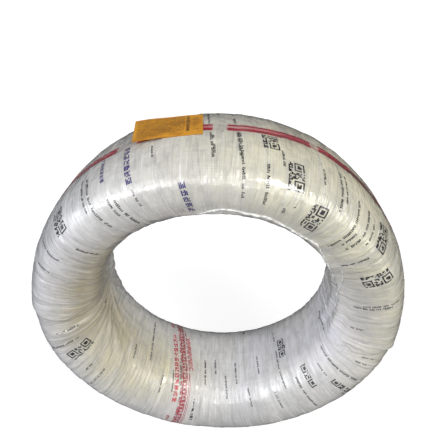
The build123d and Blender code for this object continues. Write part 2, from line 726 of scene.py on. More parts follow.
@dataclass
class WrapEffects:
    """Node groups that the finishes of the coil share."""

    shape: CoilShape
    bands: int

    @cached_property
    def place(self) -> Tree:
        """Place on the coil, in metres, without a seam: two circles in four coordinates.

        Returns:
            The group, which gives three of the coordinates, the fourth, and turns and laps.
        """
        sheet = GroupSheet("coil_place", Along=1.0, Round=1.0)
        along, around = sheet.entry
        turns, laps, _ = sheet.chart(PLACE_MAP)
        sizes = (sheet.times(around, self.shape.outer_radius), sheet.times(along, self.shape.girth / TURN))
        circles = [
            sheet.times(sheet.math(wave, sheet.times(part, TURN)), size)
            for part, size in zip((turns, laps), sizes) for wave in ("COSINE", "SINE")]
        place = sheet.fill(sheet.node("ShaderNodeCombineXYZ"), **dict(zip("XYZ", circles)))
        return sheet.close(Place=place.outputs[0], Fourth=circles[3], Turns=turns, Laps=laps)

    def noise(self, sheet: NodeSheet, scale: object, detail: float = 2.0, roughness: float = 0.5,
              along: object = 1.0, around: object = 1.0) -> Socket:
        """Add noise over the coil, without a seam.

        Args:
            sheet: Where the nodes go.
            scale: Cells in a metre.
            detail: Octaves.
            roughness: Share of the finer octaves.
            along: How much more often it changes along the section.
            around: How much more often it changes round the coil.

        Returns:
            The socket of its value, from 0 to 1.
        """
        place = sheet.group(self.place, Along=along, Round=around)
        return sheet.fill(
            sheet.node("ShaderNodeTexNoise", noise_dimensions="4D"), Vector=place.outputs[0],
            W=place.outputs[1], Scale=scale, Detail=detail, Roughness=roughness).outputs[0]

    @cached_property
    def streaks(self) -> Tree:
        """Streaks that run round the section, as the bands of film were pulled.

        Returns:
            The group, which gives streaks, patches and clouds.
        """
        sheet = GroupSheet("film_streaks", Fine=165.0, Coarse=52.0, Along=0.08)
        fine, coarse, along = sheet.entry
        streak = sheet.plus(
            sheet.times(self.noise(sheet, fine, 3.0, 0.6, along), 0.4),
            sheet.times(self.noise(sheet, coarse, along=along), 0.6))
        patch = self.noise(sheet, 9.0, 4.0, 0.6, 0.6)
        return sheet.close(Streak=streak, Patch=patch, Cloud=self.noise(sheet, 42.0, 4.0, 0.65, 0.6))

    @cached_property
    def band_tones(self) -> Tree:
        """Tone of each band of wrapping, a thin line of painted shadow along its free edge, and its doubled
        strip.

        Returns:
            The group, which gives these three.
        """
        sheet = GroupSheet("wrap_bands", Wobble=0.16)
        _, _, turns, laps = sheet.group(self.place).outputs
        wave = sheet.math("SUBTRACT", self.noise(sheet, 9.0, along=0.5), 0.5)
        count = sheet.plus(sheet.times(turns, float(self.bands)), laps, sheet.times(wave, sheet.entry[0]))
        number = sheet.math("FLOORED_MODULO", sheet.math("FLOOR", count), float(self.bands))
        toss = sheet.fill(sheet.node("ShaderNodeTexWhiteNoise", noise_dimensions="1D"), W=number)
        part = sheet.math("FRACT", count)
        fade = sheet.math("MULTIPLY_ADD", sheet.math("COSINE", sheet.times(laps, TURN)), 0.5, 0.5)
        tone = sheet.times(sheet.math("SUBTRACT", toss.outputs[0], 0.5), fade)
        lap = sheet.times(sheet.ramp(part, 0.40, 0.36), sheet.ramp(part, 0.0, 0.01))
        # The edge line is painted shadow along the free edge of each band.
        return sheet.close(Tone=sheet.plus(tone, 0.5), Edge=sheet.ramp(part, 0.05, 0.0), Lap=lap)

    @cached_property
    def scrim(self) -> Tree:
        """Fine woven grid of the wrapping, with threads of uneven darkness.

        Returns:
            The group, which gives the darkness of the threads.
        """
        sheet = GroupSheet("wrap_scrim", Round_count=620.0, Along_count=190.0)
        ways = list(sheet.group(self.place).outputs)[2:]
        threads = []
        for way, count, stretch in zip(ways, sheet.entry, ((0.12, 1.0), (1.0, 0.05))):
            line = sheet.ramp(sheet.apart(sheet.math("FRACT", sheet.times(way, count))), 0.22, 0.46)
            uneven = self.noise(sheet, 160.0, 2.0, 0.5, *stretch)
            threads.append(sheet.times(line, sheet.ramp(uneven, 0.40, 0.62)))
        return sheet.close(Thread=sheet.math("MAXIMUM", *threads))

    @cached_property
    def crinkle(self) -> Tree:
        """Height of the fine wrinkles of tight film, for a bump node.

        Returns:
            The group, which gives the height.
        """
        sheet = GroupSheet("film_crinkle", Pulled=1.0, Crumpled=1.4, Ridged=0.08)
        pulled, crumpled, ridged = sheet.entry
        parts = []
        for scale, along, share in ((150.0, 0.07, pulled), (52.0, 0.50, crumpled)):
            parts.append(sheet.times(sheet.apart(self.noise(sheet, scale, 3.0, 0.5, along)), share))
        for scale, stretch, share in ((48.0, (0.14, 1.0), 1.0), (40.0, (0.8, 0.45), 0.6)):
            ridge = sheet.ramp(sheet.apart(self.noise(sheet, scale, 1.0, 0.5, *stretch)), 0.05, 0.0)
            parts.append(sheet.times(ridge, ridged, share))
        return sheet.close(Height=sheet.plus(*parts))

    @cached_property
    def patch(self) -> Tree:
        """Soft patch about one place of the coil, without a seam.

        Returns:
            The group, which gives 1 at the place and falls off round it.
        """
        sheet = GroupSheet("wrap_patch", Turn=0.0, Lap=0.0, Round=1.0, Along=1.0)
        falls = []
        for way, middle, narrow in zip(
                list(sheet.group(self.place).outputs)[2:], sheet.entry[:2], sheet.entry[2:]):
            off = sheet.times(sheet.math("SUBTRACT", way, middle), TURN)
            falls.append(sheet.times(sheet.math("SUBTRACT", sheet.math("COSINE", off), 1.0), narrow))
        return sheet.close(Patch=sheet.math("EXPONENT", sheet.plus(*falls)))


class Surface(NodeSheet):
    """The nodes of a new material, with its Principled BSDF."""

    def __init__(self, name: str) -> None:
        """Start the material.

        Args:
            name: Name of the material.
        """
        self.made = bpy.data.materials.new(name)
        self.made.use_nodes = True
        super().__init__(self.made.node_tree)
        self.shader = self.tree.nodes["Principled BSDF"]

    def dress(self, **values: object) -> None:
        """Feed the shader's inputs by name, with _ for a space."""
        self.fill(self.shader, **values)


class Finish:
    """A finish, which lays its nodes on a new surface."""

    def material(self, name: str) -> Material:
        """Build the material.

        Args:
            name: Name of the material.

        Returns:
            The material.
        """
        surface = Surface(name)
        self.lay(surface)
        return surface.made

    def lay(self, on: Surface) -> None:
        """Lay the finish on a surface."""
        raise NotImplementedError


COOL = (0.700, 0.708, 0.785)
NEUTRAL = (0.770, 0.770, 0.755)
CREAM = (0.800, 0.745, 0.520)
BEIGE = (0.560, 0.480, 0.290)
BUTTER = (0.940, 0.900, 0.680)
LILAC = (0.880, 0.885, 0.965)
PEARL = (0.870, 0.885, 0.950)
UMBER = (0.300, 0.265, 0.190)
# Grey that the colour darkens to: the wrapping's own darker tones, and painted shade.
GREY_AND_SHADE = (0.370, 0.365, 0.365)


@dataclass(frozen=True)
class TonePatch:
    """A soft patch of another tone on the wrapping, in degrees and millimetres. Some are tints and stains;
    others are painted light and painted shade.
    """

    colour: Triple
    place: Pair
    spreads: Pair
    share: float


@dataclass(frozen=True)
class FilmFinish(Finish):
    """White printed wrapping under tight, glossy, clear film."""

    effects: WrapEffects
    stretched: Triple = (0.900, 0.900, 0.900)
    patches: tuple[TonePatch, ...] = (
        # Painted light: a pale, cool patch that brightens the left face.
        TonePatch(PEARL, (158, 130), (34, 90), 1.00),
        # Painted light: a pale lilac patch that brightens the bottom of the bore.
        TonePatch(LILAC, (300, 365), (42, 75), 0.55),
        TonePatch(CREAM, (40, 90), (44, 120), 1.00),
        TonePatch(CREAM, (5, 120), (26, 60), 0.70),
        # Painted light: a pale cream patch that brightens the upper right shoulder, with a cream tint.
        TonePatch(BUTTER, (54, 106), (22, 60), 1.50),
        # Painted light: a pale lilac patch that brightens the left face.
        TonePatch(LILAC, (188, 130), (38, 66), 0.95),
        TonePatch(CREAM, (226, 280), (16, 45), 0.80),
        TonePatch(BEIGE, (178, 300), (22, 58), 1.10),
        TonePatch(BEIGE, (156, 272), (17, 34), 1.00),
        TonePatch(UMBER, (150, 268), (9, 26), 0.30),
        TonePatch(BEIGE, (152, 330), (20, 42), 0.75),
        TonePatch(UMBER, (172, 335), (10, 38), 0.85),
        # Painted light: a pale lilac patch that brightens the right wall of the bore.
        TonePatch(LILAC, (346, 340), (16, 55), 1.00),
        TonePatch(BEIGE, (208, 340), (18, 50), 0.80),
        TonePatch(CREAM, (100, -190), (60, 90), 0.50),
        TonePatch(CREAM, (238, 330), (16, 60), 0.85),
        TonePatch(CREAM, (206, 255), (16, 50), 0.60),
        # Painted shade: darker along the underside next to the floor, and over the lower front of the bore.
        TonePatch(GREY_AND_SHADE, (272, 130), (70, 40), 0.90),
        TonePatch(GREY_AND_SHADE, (270, 215), (44, 40), 0.34),
        # Painted shadow of the tuck fold on the right side.
        TonePatch(GREY_AND_SHADE, (12.5, 226), (8, 26), 0.60),
    )

    def patched(self, on: NodeSheet, colour: Socket, mottle: Socket) -> Socket:
        """Lay the patches over a colour: tints and stains, and patches of painted light and painted shade.

        Args:
            on: Where the nodes go.
            colour: The colour under the patches.
            mottle: Noise from 0 to 1 that breaks the patches up.

        Returns:
            The colour with the patches on it.
        """
        girth = self.effects.shape.girth / MM
        broken = on.ramp(mottle, 0.30, 0.62, 0.55, 1.35)
        for patch in self.patches:
            degrees, millimetres = patch.spreads
            mask = on.group(
                self.effects.patch, Turn=patch.place[0] / 360, Lap=patch.place[1] / girth,
                Round=math.radians(degrees) ** -2, Along=(TURN * millimetres / girth) ** -2)
            share = on.math("MULTIPLY", on.times(mask.outputs[0], broken), patch.share, clamp=True)
            colour = on.mix(share, colour, patch.colour)
        return colour

    def colour(self, on: NodeSheet) -> Socket:
        """Add the nodes of the wrapping's colour as it shows through the film, with painted light and painted
        shade laid into it.

        Args:
            on: Where the nodes go.

        Returns:
            The colour's socket.
        """
        streak, patch, cloud = on.group(self.effects.streaks).outputs
        band, edge, lap = on.group(self.effects.band_tones).outputs
        thread = on.group(self.effects.scrim).outputs[0]
        colour = self.patched(on, on.mix(on.ramp(patch, 0.36, 0.60, 0.0, 0.7), NEUTRAL, COOL), patch)
        lines = self.effects.noise(on, 240.0, 2.0, 0.6, along=0.045)
        colour = on.mix(on.ramp(lines, 0.57, 0.68, 0.0, 0.75), colour, self.stretched)
        # Darkening: the streaks and dark lines are partly painted shade of the fine wrinkles, the edge line
        # is painted shadow along each band's free edge, and the clouds, band tones and threads are the
        # wrapping's own tone.
        tone = on.plus(
            on.ramp(streak, 0.36, 0.56, 0.22, 0.0), on.ramp(lines, 0.28, 0.42, 0.34, 0.0),
            on.ramp(cloud, 0.38, 0.56, 0.22, 0.0), on.times(band, 0.24), on.times(edge, 0.26),
            on.times(lap, -0.05))
        return on.mix(on.math("ADD", tone, on.times(thread, 0.22), clamp=True), colour, GREY_AND_SHADE)

    def gloss(self, on: Surface) -> None:
        """Add the gloss and the wrinkles of the film.

        Args:
            on: The surface to dress.
        """
        streak, _, cloud = on.group(self.effects.streaks).outputs
        wrinkles = on.group(self.effects.crinkle).outputs[0]
        on.dress(
            Roughness=on.ramp(cloud, 0.34, 0.64, 0.07, 0.24), IOR=FILM_IOR, Specular_IOR_Level=1.0,
            Coat_Weight=on.ramp(streak, 0.42, 0.58, 0.30, 1.0), Coat_Roughness=0.09,
            Normal=on.bump(wrinkles, 0.9, 0.0045))

    def lay(self, on: Surface) -> None:
        """Lay the wrapping's colour and the film's gloss on a surface."""
        on.dress(Base_Color=self.colour(on))
        self.gloss(on)


@dataclass(frozen=True)
class HemFinish(Finish):
    """Several turns of clear film rolled together, milky and very glossy."""

    pale: Triple = (0.850, 0.855, 0.850)
    dim: Triple = (0.560, 0.560, 0.545)

    def lay(self, on: Surface) -> None:
        """Lay the milky film on a surface."""
        cloud = on.own_noise(120.0)
        on.dress(Base_Color=on.mix(on.ramp(cloud, 0.36, 0.58), self.dim, self.pale), Roughness=0.18,
                 IOR=FILM_IOR, Normal=on.bump(cloud, 0.3, 0.001))


@dataclass(frozen=True)
class InkFinish(Finish):
    """Print, worn thin in places, and under film where there is one."""

    ink: Ink
    film: FilmFinish | None = None
    faded: Triple = (0.56, 0.56, 0.56)
    wear: float = 0.55

    def made(self) -> Material:
        """Build the material, named after its colour."""
        return self.material(f"ink_{self.ink.name.lower()}")

    def lay(self, on: Surface) -> None:
        """Lay the ink on a surface.

        Args:
            on: The surface.
        """
        worn = on.ramp(on.own_noise(70.0, 4.0), 0.44, 0.70, 0.02, self.wear)
        on.dress(Base_Color=on.mix(worn, self.ink.value, self.faded), Roughness=0.30)
        if self.film:
            self.film.gloss(on)


@dataclass(frozen=True)
class HoopTapeFinish(Finish):
    """Clear tape with red stripes, seen through the film, and dim where a band covers it."""

    film: FilmFinish
    red: Triple = (0.370, 0.006, 0.028)
    pink: Triple = (0.640, 0.230, 0.250)
    solid: Triple = (0.470, 0.040, 0.065)
    umber: Triple = (0.100, 0.042, 0.028)

    def lay(self, on: Surface) -> None:
        """Lay the stripes over the wrapping's colour.

        Args:
            on: The surface.
        """
        across, shown, _ = on.chart(TAPE_MAP)
        worn = self.film.effects.noise(on, 150.0, 3.0, 0.6, around=0.10)
        under = on.times(self.stripe(on, across, 0.50, 0.38), on.ramp(worn, 0.36, 0.56, 0.45, 1.0))
        lines = on.math("MAXIMUM", self.stripe(on, across, 0.18, 0.12), self.stripe(on, across, 0.72, 0.20))
        lines = on.times(lines, on.ramp(worn, 0.34, 0.50, 0.70, 1.0))
        colour = self.film.colour(on)
        for mask, low, high, first, second in (
                (under, 1.0, 1.9, self.pink, self.solid), (lines, 2.0, 3.0, self.red, self.umber)):
            ink = on.mix(on.ramp(shown, low, high), first, second)
            colour = on.mix(on.math("MULTIPLY", mask, shown, clamp=True), colour, ink)
        on.dress(Base_Color=colour)
        self.film.gloss(on)

    @staticmethod
    def stripe(on: NodeSheet, across: Socket, middle: float, half: float) -> Socket:
        """Mask of one stripe along the tape, at a share of its width."""
        return on.ramp(on.apart(across, middle), half, half * 0.75)


@dataclass(frozen=True)
class CrossTapeFinish(Finish):
    """Clear printed tape under the film: a little paler and smoother than the wrapping."""

    film: FilmFinish
    clear: Triple = (0.700, 0.660, 0.650)

    def lay(self, on: Surface) -> None:
        """Lay the tape over the wrapping's colour.

        Args:
            on: The surface.
        """
        share = on.ramp(on.group(self.film.effects.streaks).outputs[2], 0.35, 0.60, 0.20, 0.50)
        on.dress(Base_Color=on.mix(share, self.film.colour(on), self.clear))
        self.film.gloss(on)


@dataclass(frozen=True)
class TagFinish(Finish):
    """Orange paper: fibres, faint creases, and wear that shows paler."""

    orange: Triple = (0.700, 0.320, 0.026)
    deep: Triple = (0.560, 0.235, 0.018)
    worn: Triple = (0.760, 0.440, 0.110)

    def lay(self, on: Surface) -> None:
        """Lay the paper on a surface.

        Args:
            on: The surface.
        """
        cloud, fibre = on.own_noise(38.0, 4.0), on.own_noise(900.0, 3.0)
        colour = on.mix(on.ramp(cloud, 0.36, 0.60), self.deep, self.orange)
        on.dress(Base_Color=on.mix(on.ramp(fibre, 0.55, 0.75, 0.0, 0.35), colour, self.worn),
                 Roughness=on.ramp(cloud, 0.35, 0.65, 0.42, 0.62),
                 Normal=on.bump(on.plus(fibre, cloud), 0.35, 0.0006))


@dataclass(frozen=True)
class WireFinish(Finish):
    """Drawn steel wire: turn beside turn, bright on top and dark between, as painted highlight and painted
    shade.
    """

    bright: Triple = (0.46, 0.45, 0.44)
    dark: Triple = (0.16, 0.15, 0.14)
    pitch: float = 0.0055

    def lay(self, on: Surface) -> None:
        """Lay the turns of wire on a surface.

        Args:
            on: The surface.
        """
        place = on.parts(on.own_place())[1]
        turn = on.math("FRACT", on.math("DIVIDE", place, self.pitch))
        crest = on.math("SINE", on.times(turn, math.pi))
        # Painted highlight on the crest of each turn and painted shade between turns.
        on.dress(Base_Color=on.mix(on.ramp(crest, 0.1, 0.7), self.dark, self.bright), Metallic=1.0,
                 Roughness=0.36, Normal=on.bump(crest, 1.0, 0.002))


def dress_node(name: str, material: Material) -> None:
    """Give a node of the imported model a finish.

    Args:
        name: Name of the node.
        material: Its finish.
    """
    for part in (o for o in bpy.data.objects if o.name == name and o.type == "MESH"):
        for place in part.material_slots:
            place.material = material


@dataclass
class WrappedFace:
    """The visible face of the coil, wrapping and film as one relief, in a front and a rear mesh."""

    shape: CoilShape
    relief: Relief
    columns: int = 1000
    rows: int = 196
    floor_clearance: float = 0.0002

    @cached_property
    def corners(self) -> Places:
        """Places of the corners of the mesh.

        Returns:
            One row of places a column.
        """
        half = self.shape.girth / 2
        angles = np.arange(self.columns) / self.columns * TURN
        alongs = np.linspace(-half, half, self.rows + 1)[:-1]
        return Places(self.shape, *np.meshgrid(angles, alongs, indexing="ij"))

    @cached_property
    def heights(self) -> Array:
        """Relief at every corner."""
        return self.relief.height(self.corners)

    def on_mesh(self, at: Places, lift: float | Array) -> Array:
        """Points a little over the faces of the mesh.

        Args:
            at: Where on the coil.
            lift: Height over the faces.

        Returns:
            An array of points, with the coordinates last.
        """
        row = (self.shape.wrapped(at.along) / (self.shape.girth / 2) + 1) / 2 * self.rows
        height = between(self.heights, at.turns % 1.0 * self.columns, row)
        return self.keep_off_floor(self.shape.points(at.angle, at.along, height + lift))

    def keep_off_floor(self, points: Array) -> Array:
        """Press what would sink into the floor flat on it."""
        points[..., 2] = np.maximum(points[..., 2], self.floor_clearance)
        return points

    def overlay(self, name: str, at: Places, lift: float, faces: Array, material: Material,
                slot: str, smooth: bool = True) -> Piece:
        """Make a mesh that lies on the face.

        Args:
            name: Name of the piece.
            at: Where its corners lie.
            lift: Their height over the face.
            faces: Corner numbers, one row of four a face.
            material: Its finish.
            slot: The record's material slot; not used.
            smooth: Whether the faces are shaded smooth.

        Returns:
            The piece.
        """
        piece = add_mesh(name, self.on_mesh(at, lift), faces, material, smooth)
        add_chart(piece, PLACE_MAP, at.turns, at.laps)
        return piece

    def build(self, material: Material) -> list[Piece]:
        """Make both meshes.

        Args:
            material: Finish of the film.

        Returns:
            The pieces that stand for the wrapping and the film.
        """
        points = self.shape.points(self.corners.angle, self.corners.along, self.heights)
        points = self.keep_off_floor(points)
        round_way, section_way = (
            np.roll(points, -1, axis=way) - np.roll(points, 1, axis=way) for way in (0, 1))
        normals = np.cross(section_way, round_way)
        normals /= np.linalg.norm(normals, axis=-1, keepdims=True)
        half = self.rows // 2
        made = []
        for name, first in (("filmed_wrap_front", half), ("filmed_wrap_rear", 0)):
            picked = (first + np.arange(half + 1)) % self.rows
            faces = grid_faces(self.columns, half + 1, True, False)
            piece = add_mesh(name, points[:, picked], faces, material)
            piece.data.normals_split_custom_set_from_vertices(normals[:, picked].reshape(-1, 3).tolist())
            column, row = np.divmod(faces[:, 0], half + 1)
            turns = np.stack((column, column, column + 1, column + 1), axis=-1) / self.columns
            laps = (np.stack((row, row + 1, row + 1, row), axis=-1) + first) / self.rows - 0.5
            place = Places(self.shape, turns * TURN, laps * self.shape.girth)
            add_chart(piece, PLACE_MAP, self.relief.turns(place), laps)
            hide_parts("stretch_film", "printed_wrap")
            made.append(piece)
        return made


@dataclass(frozen=True)
class FaceLine:
    """A line over the face of the coil, measured in metres from its start."""

    shape: CoilShape
    stations: Stations | Array

    @cached_property
    def corners(self) -> tuple[Array, Array, Array]:
        """Distance, angle and place along the section of each station.

        Returns:
            Three arrays, one value a station.
        """
        degrees, distances = np.array(self.stations).T
        angles, alongs = np.radians(degrees), distances * MM
        radius = self.shape.section((alongs[1:] + alongs[:-1]) / 2)[0]
        steps = np.hypot(np.diff(angles) * radius, np.diff(alongs))
        return np.concatenate(((0.0,), np.cumsum(steps))), angles, alongs

    @property
    def length(self) -> float:
        """Length of the line."""
        return float(self.corners[0][-1])

    def at(self, distance: Array, aside: Array) -> Places:
        """Places along the line and beside it.

        Args:
            distance: Distances from the start.
            aside: Distances to one side.

        Returns:
            Where they are on the coil.
        """
        reach, angles, alongs = self.corners
        piece = np.clip(np.searchsorted(reach, distance, side="right") - 1, 0, len(reach) - 2)
        span, turn, rise = (np.diff(values)[piece] for values in self.corners)
        share = (distance - reach[piece]) / span
        angle, along = angles[piece] + share * turn, alongs[piece] + share * rise
        radius = self.shape.section(along)[0]
        return Places(
            self.shape, angle - aside * (rise / span) / radius, along + aside * (turn * radius / span))


def softened(seed: int, count: int, window: int, mode: str) -> Array:
    """Noise with its quick changes taken out by a window, in one of the modes of np.convolve."""
    weights = np.hanning(window)
    return np.convolve(np.random.default_rng(seed).normal(0, 1, count), weights / weights.sum(), mode)


@dataclass(frozen=True)
class FilmHem:
    """A free edge of the film, rolled and twisted into a thin bead that lies on the face."""

    name: str
    stations: Stations
    thick: float
    seed: int
    twist: float = 0.055
    sides: int = 10
    step: float = 0.0016
    drift: float = 0.012
    drift_reach: float = 0.10
    taper: float = 0.03
    lump_steps: int = 31

    def build(self, face: WrappedFace, material: Material) -> Piece:
        """Make the bead.

        Args:
            face: The face that it lies on.
            material: Its finish.

        Returns:
            The piece.
        """
        line = FaceLine(face.shape, self.stations)
        count = int(line.length / self.step)
        distance = np.linspace(0, line.length, count)
        wander = softened(self.seed, count, int(self.drift_reach / self.step), "same")
        lumps = softened(self.seed + 1, count + self.lump_steps - 1, self.lump_steps, "valid")
        at = line.at(distance, wander * self.drift)
        ends = smooth_step(distance, 0, self.taper)
        ends = ends * (1 - smooth_step(distance, line.length - self.taper, line.length))
        thick = self.thick * np.clip(1 + 0.3 * lumps, 0.8, 1.25) * (0.15 + 0.85 * ends)
        middle = face.on_mesh(at, 0.35 * thick)
        out = face.on_mesh(at, 0.35 * thick + 0.01) - middle
        out /= np.linalg.norm(out, axis=-1, keepdims=True)
        side = np.cross(np.gradient(middle, axis=0), out)
        side /= np.linalg.norm(side, axis=-1, keepdims=True)
        turn, roll = np.arange(self.sides) / self.sides * TURN, distance / self.twist * TURN
        reach = (thick[:, None] * (1 + 0.25 * np.cos(2 * (turn[None, :] - roll[:, None]))))[..., None]
        points = middle[:, None] + reach * (
            side[:, None] * np.cos(turn)[None, :, None] + 0.8 * out[:, None] * np.sin(turn)[None, :, None])
        return add_mesh(self.name, points, grid_faces(count, self.sides, False, True), material)


@dataclass
class Print:
    """Ink marks that follow the face of the coil, gathered by colour."""

    face: WrappedFace
    rng: np.random.Generator
    lift: float = 0.00028
    longest: float = 0.004
    marks: dict[Ink, list[Places]] = field(default_factory=lambda: {ink: [] for ink in Ink})

    def add_bar(self, ink: Ink, line: FaceLine, reach: Pair, aside: Pair) -> None:
        """Keep a four-sided mark, in lengths short enough to follow the face.

        Args:
            ink: Its colour.
            line: The line that it belongs to.
            reach: Its two ends along the line.
            aside: Its two edges beside the line.
        """
        pieces = max(1, math.ceil((reach[1] - reach[0]) / self.longest))
        cuts = np.linspace(*reach, pieces + 1)
        for start, end in zip(cuts[:-1], cuts[1:]):
            self.marks[ink].append(line.at(np.array((start, end, end, start)), np.repeat(aside, 2)))

    def add_words(self, ink: Ink, line: FaceLine, tall: float, fill: float = 0.85) -> None:
        """Add a row of small strokes in groups, which spell nothing.

        Args:
            ink: Its colour.
            line: Where it runs.
            tall: Height of the strokes.
            fill: Share of the row that has strokes.
        """
        step = 0.60 * tall
        at = 0.0
        while at < line.length - step:
            shown = self.rng.random() < fill
            for _ in range(int(self.rng.integers(3, 11))):
                if at + step > line.length:
                    break
                if shown:
                    self.add_sign(ink, line, at, step, tall)
                at += step
            at += step * float(self.rng.uniform(0.8, 1.8))

    def add_sign(self, ink: Ink, line: FaceLine, at: float, step: float, tall: float) -> None:
        """Add one upright stroke with a short bar or two, which has no meaning.

        Args:
            ink: Its colour.
            line: Where it stands.
            at: Its distance along the line.
            step: Room that it has there.
            tall: Height of the row.
        """
        stroke = step * float(self.rng.uniform(0.46, 0.62))
        low, high = -tall / 2, tall / 2 * float(self.rng.choice((0.35, 1.0, 1.0)))
        self.add_bar(ink, line, (at, at + stroke), (low, high))
        levels, count = (low, 0.0, high - 0.25 * tall), int(self.rng.integers(1, 3))
        for level in self.rng.choice(levels, size=count, replace=False):
            self.add_bar(ink, line, (at + stroke, at + 0.85 * step), (level, level + 0.24 * tall))

    def add_motifs(self, ink: Ink, line: FaceLine, size: float, fill: float = 0.62) -> None:
        """Add a border of small squares of bars, each one of a few plain patterns.

        Args:
            ink: Its colour.
            line: Where it runs.
            size: Side of a square.
            fill: Share of the cells that are printed.
        """
        at, cell = 0.0, size / MOTIF_CELLS
        while at + size < line.length:
            filled = self.rng.random((MOTIF_CELLS, MOTIF_CELLS)) < fill
            for row, column in np.argwhere(filled).tolist():
                low, start = row * cell - size / 2, at + column * cell
                self.add_bar(ink, line, (start, start + cell), (low, low + 0.8 * cell))
            at += 1.28 * size

    def add_block(self, ink: Ink, line: FaceLine, deep: int = 11, long: int = 21, worn: float = 0.06) -> None:
        """Add a strip of random cells with framed corners, which holds no message.

        Args:
            ink: Its colour.
            line: Where it runs, from end to end.
            deep: Cells across it.
            long: Cells along it.
            worn: Share of the cells that rubbed off.
        """
        filled = self.rng.random((long, deep)) < 0.58
        corner = np.ones((7, 7), bool)
        corner[1:6, 1:6] = False
        corner[2:5, 2:5] = True
        filled[:8, :8] = filled[-8:, :8] = False
        filled[:7, :7] = filled[-7:, :7] = corner[:, :deep]
        filled &= self.rng.random((long, deep)) > worn
        cell = line.length / long
        for row, column in np.argwhere(filled.T).tolist():
            low = (deep / 2 - row - 1) * cell
            self.add_bar(ink, line, (column * cell, (column + 1) * cell), (low, low + cell))

    def build(self, ink: Ink, name: str, material: Material, slot: str) -> Piece:
        """Make one mesh of all the marks in a colour.

        Args:
            ink: Which colour.
            name: Name of the piece.
            material: Its finish.
            slot: The record's material slot; not used.

        Returns:
            The piece.
        """
        marks = self.marks[ink]
        angle, along = np.array([(mark.angle, mark.along) for mark in marks]).transpose(1, 0, 2)
        faces = np.arange(angle.size).reshape(-1, 4)
        at = Places(self.face.shape, angle, along)
        return self.face.overlay(name, at, self.lift, faces, material, slot, smooth=False)


